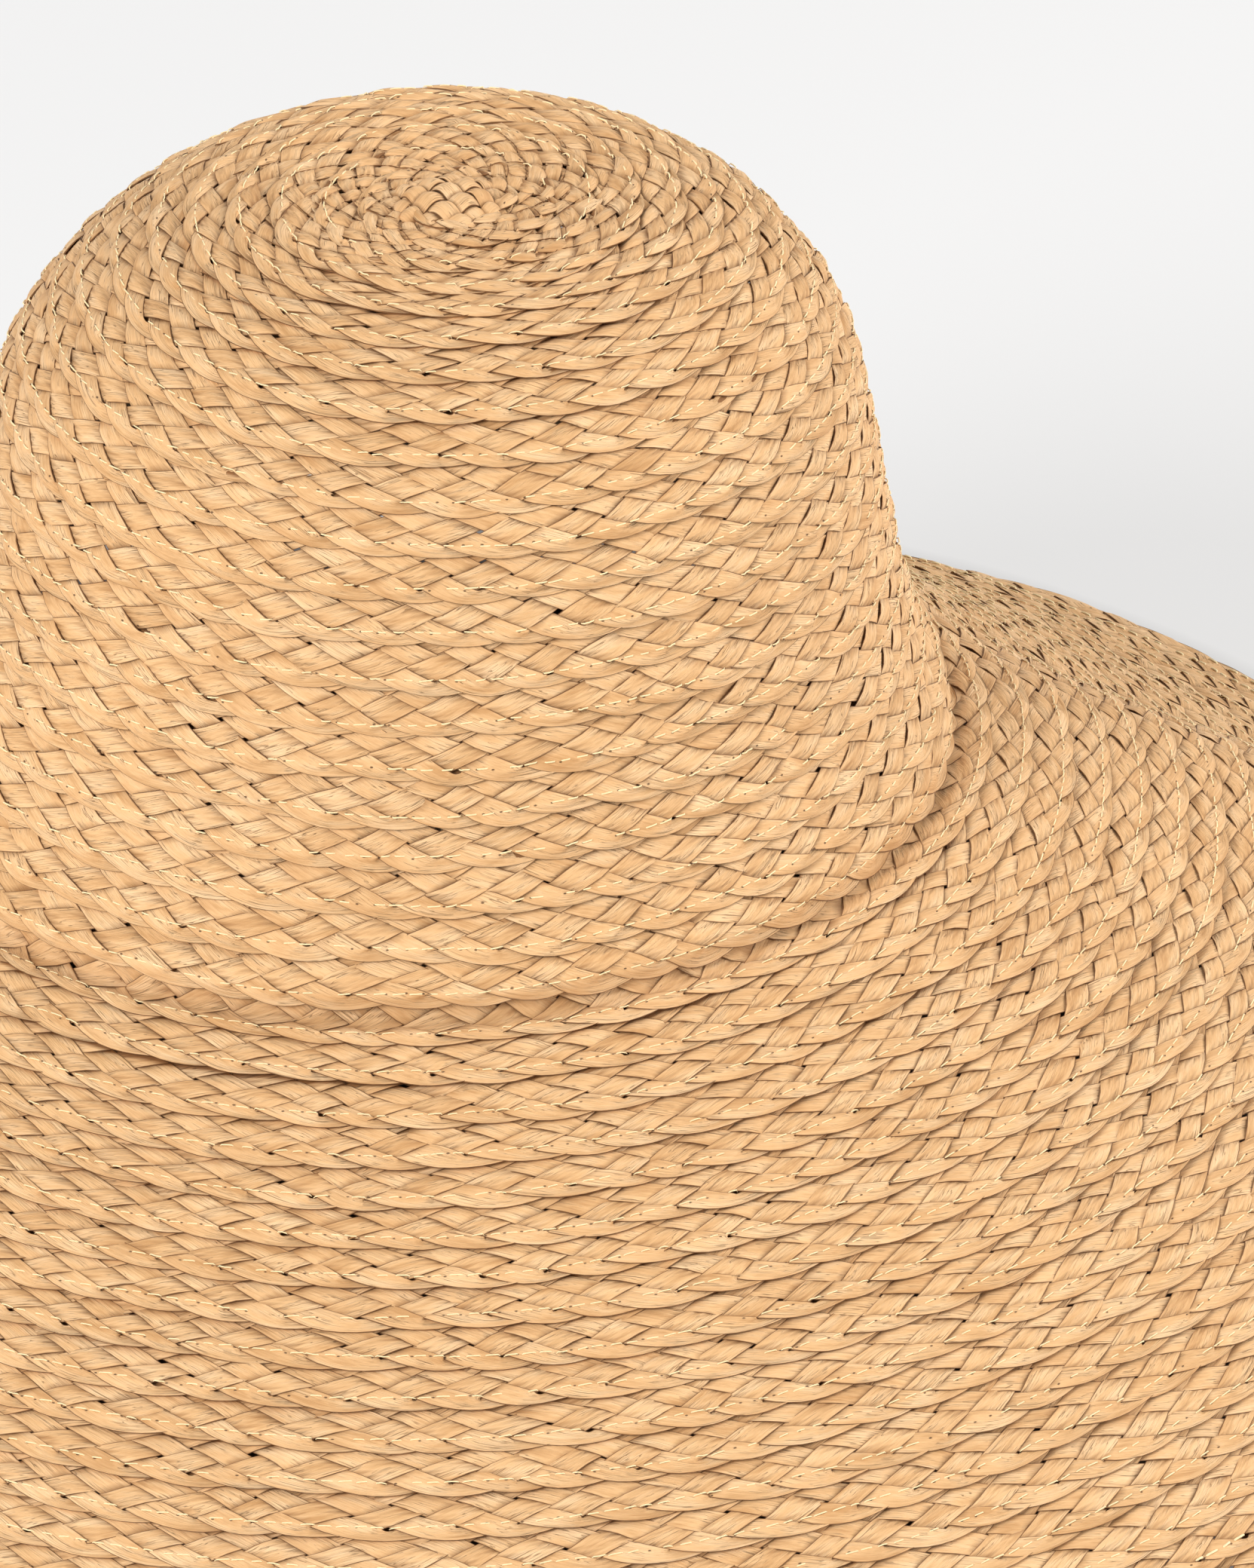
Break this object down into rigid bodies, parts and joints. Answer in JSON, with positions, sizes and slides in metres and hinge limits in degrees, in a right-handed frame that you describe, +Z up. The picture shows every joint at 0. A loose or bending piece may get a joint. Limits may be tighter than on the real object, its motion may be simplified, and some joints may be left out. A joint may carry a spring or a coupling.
{
  "type": "straw sun hat",
  "caption": "Wide-brimmed sun hat of flat straw plait sewn in a spiral, with a rounded crown, a floppy drooping brim and an inner sweatband.",
  "frame": {"origin": "centre of the head opening, in the plane where the crown meets the brim", "axes": "+Z up through the crown, -Y towards the front of the hat, +X to the wearer's left"},
  "size_m": [0.4608, 0.4451, 0.1837],
  "materials": {
    "straw_plait": "matt natural straw with a faint silky sheen on each strand",
    "sewing_thread": "matt pale yellow cotton",
    "sweatband": "matt ribbed ribbon"
  },
  "bodies": {
    "root": {"brim_thread": "sewing_thread", "brim_turn_01": "straw_plait", "brim_turn_02": "straw_plait", "brim_turn_03": "straw_plait", "brim_turn_04": "straw_plait", "brim_turn_05": "straw_plait", "brim_turn_06": "straw_plait", "brim_turn_07": "straw_plait", "brim_turn_08": "straw_plait", "brim_turn_09": "straw_plait", "brim_turn_10": "straw_plait", "brim_turn_11": "straw_plait", "brim_turn_12": "straw_plait", "brim_turn_13": "straw_plait", "brim_turn_14": "straw_plait", "brim_turn_15": "straw_plait", "brim_turn_16": "straw_plait", "brim_turn_17": "straw_plait", "brim_turn_18": "straw_plait", "brim_turn_19": "straw_plait", "brim_turn_20": "straw_plait", "crown_thread": "sewing_thread", "crown_tip": "straw_plait", "crown_turn_01": "straw_plait", "crown_turn_02": "straw_plait", "crown_turn_03": "straw_plait", "crown_turn_04": "straw_plait", "crown_turn_05": "straw_plait", "crown_turn_06": "straw_plait", "crown_turn_07": "straw_plait", "crown_turn_08": "straw_plait", "crown_turn_09": "straw_plait", "crown_turn_10": "straw_plait", "crown_turn_11": "straw_plait", "crown_turn_12": "straw_plait", "crown_turn_13": "straw_plait", "crown_turn_14": "straw_plait", "crown_turn_15": "straw_plait", "crown_turn_16": "straw_plait", "crown_turn_17": "straw_plait", "crown_turn_18": "straw_plait", "crown_turn_19": "straw_plait", "crown_turn_20": "straw_plait", "sweatband": "sweatband", "sweatband_tape": "sweatband", "sweatband_thread": "sewing_thread"}
  },
  "joints": []
}
